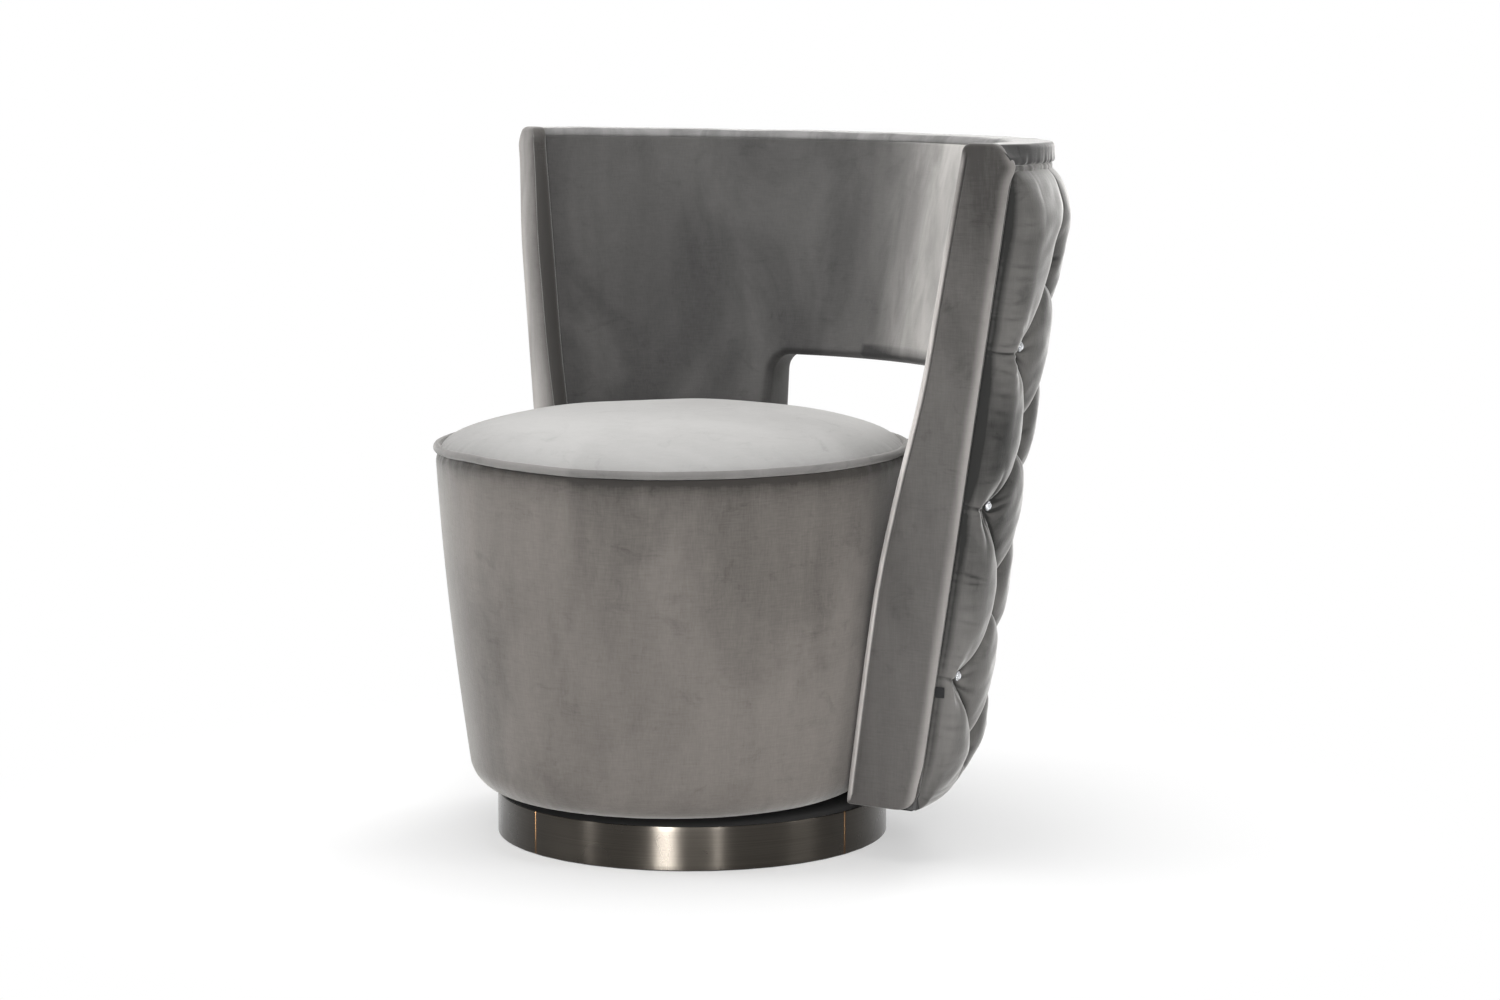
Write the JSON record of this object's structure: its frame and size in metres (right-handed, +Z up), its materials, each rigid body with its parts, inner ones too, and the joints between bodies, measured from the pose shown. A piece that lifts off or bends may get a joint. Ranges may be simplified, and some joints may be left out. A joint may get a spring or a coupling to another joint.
{
  "type": "cuddle chair",
  "caption": "Round swivelling cuddle chair: velvet drum seat on a low steel-banded plinth, inside a curved, deep-buttoned back with a window.",
  "frame": {"origin": "on the floor, on the swivel axis, in the middle of the felt under the plinth", "axes": "+Z up along the swivel axis; the sitter faces -Y; +X across the chair"},
  "size_m": [0.7992, 0.6824, 0.75],
  "materials": {
    "velvet": "short-pile warm grey velvet, strong sheen at grazing angles",
    "banded_steel": "steel brushed along the band, nearly polished",
    "zinc_steel": "bright zinc plate",
    "ball_steel": "polished bearing steel",
    "plywood": "raw plywood",
    "seat_foam": "open-cell upholstery foam",
    "webbing": "woven elastic webbing",
    "black_cloth": "black non-woven lining cloth",
    "grey_felt": "pressed felt",
    "crystal": "clear cut-glass button"
  },
  "bodies": {
    "plinth": {"floor_felt": "grey_felt", "plinth_bottom_board": "plywood", "plinth_spacer_ring": "plywood", "plinth_top_board": "plywood", "plinth_band": "banded_steel", "swivel_lower_plate": "zinc_steel", "pivot_rivet": "zinc_steel", "lower_plate_screw_1": "zinc_steel", "lower_plate_screw_2": "zinc_steel", "lower_plate_screw_3": "zinc_steel", "lower_plate_screw_4": "zinc_steel"},
    "ball_cage": {"ball_cage": "ball_steel"},
    "seat_unit": {"drum_cover": "velvet", "seat_cover": "velvet", "seat_piping": "velvet", "back_inner_pad": "velvet", "back_outer_pad": "velvet", "back_top_pad": "velvet", "window_liner": "velvet", "back_end_pad_left": "velvet", "back_end_pad_right": "velvet", "back_end_piping_left": "velvet", "back_end_piping_right": "velvet", "swivel_upper_plate": "zinc_steel", "upper_plate_bolt_1": "zinc_steel", "upper_plate_bolt_2": "zinc_steel", "upper_plate_bolt_3": "zinc_steel", "upper_plate_bolt_4": "zinc_steel", "back_bolt_left_1": "zinc_steel", "back_bolt_left_2": "zinc_steel", "back_bolt_right_1": "zinc_steel", "back_bolt_right_2": "zinc_steel", "drum_bottom_board": "plywood", "drum_post_1": "plywood", "drum_post_2": "plywood", "drum_post_3": "plywood", "drum_post_4": "plywood", "drum_deck_ring": "plywood", "drum_skin": "plywood", "back_inner_skin": "plywood", "back_outer_skin": "plywood", "back_bottom_rail": "plywood", "back_top_rail": "plywood", "window_head_rail": "plywood", "window_sill_rail": "plywood", "back_end_rib_left": "plywood", "back_end_rib_right": "plywood", "window_rib_left": "plywood", "window_rib_right": "plywood", "back_batten_left": "plywood", "back_batten_right": "plywood", "seat_foam": "seat_foam", "seat_strap_along_1": "webbing", "seat_strap_along_2": "webbing", "seat_strap_along_3": "webbing", "seat_strap_across_1": "webbing", "seat_strap_across_2": "webbing", "drum_dust_cloth": "black_cloth", "back_dust_cloth": "black_cloth", "seam_tab": "black_cloth"}
  },
  "joints": [
    {"name": "seat_swivel", "type": "hinge", "parent": "plinth", "child": "seat_unit", "pos_m": [0, 0, 0.055], "axis": [0, 0, 1], "continuous": true},
    {"name": "ball_cage_turn", "type": "hinge", "parent": "plinth", "child": "ball_cage", "pos_m": [0, 0, 0.0505], "axis": [0, 0, 1], "continuous": true}
  ],
  "couplings": [
    {"joint": "ball_cage_turn", "follows": "seat_swivel", "ratio": 0.5}
  ]
}
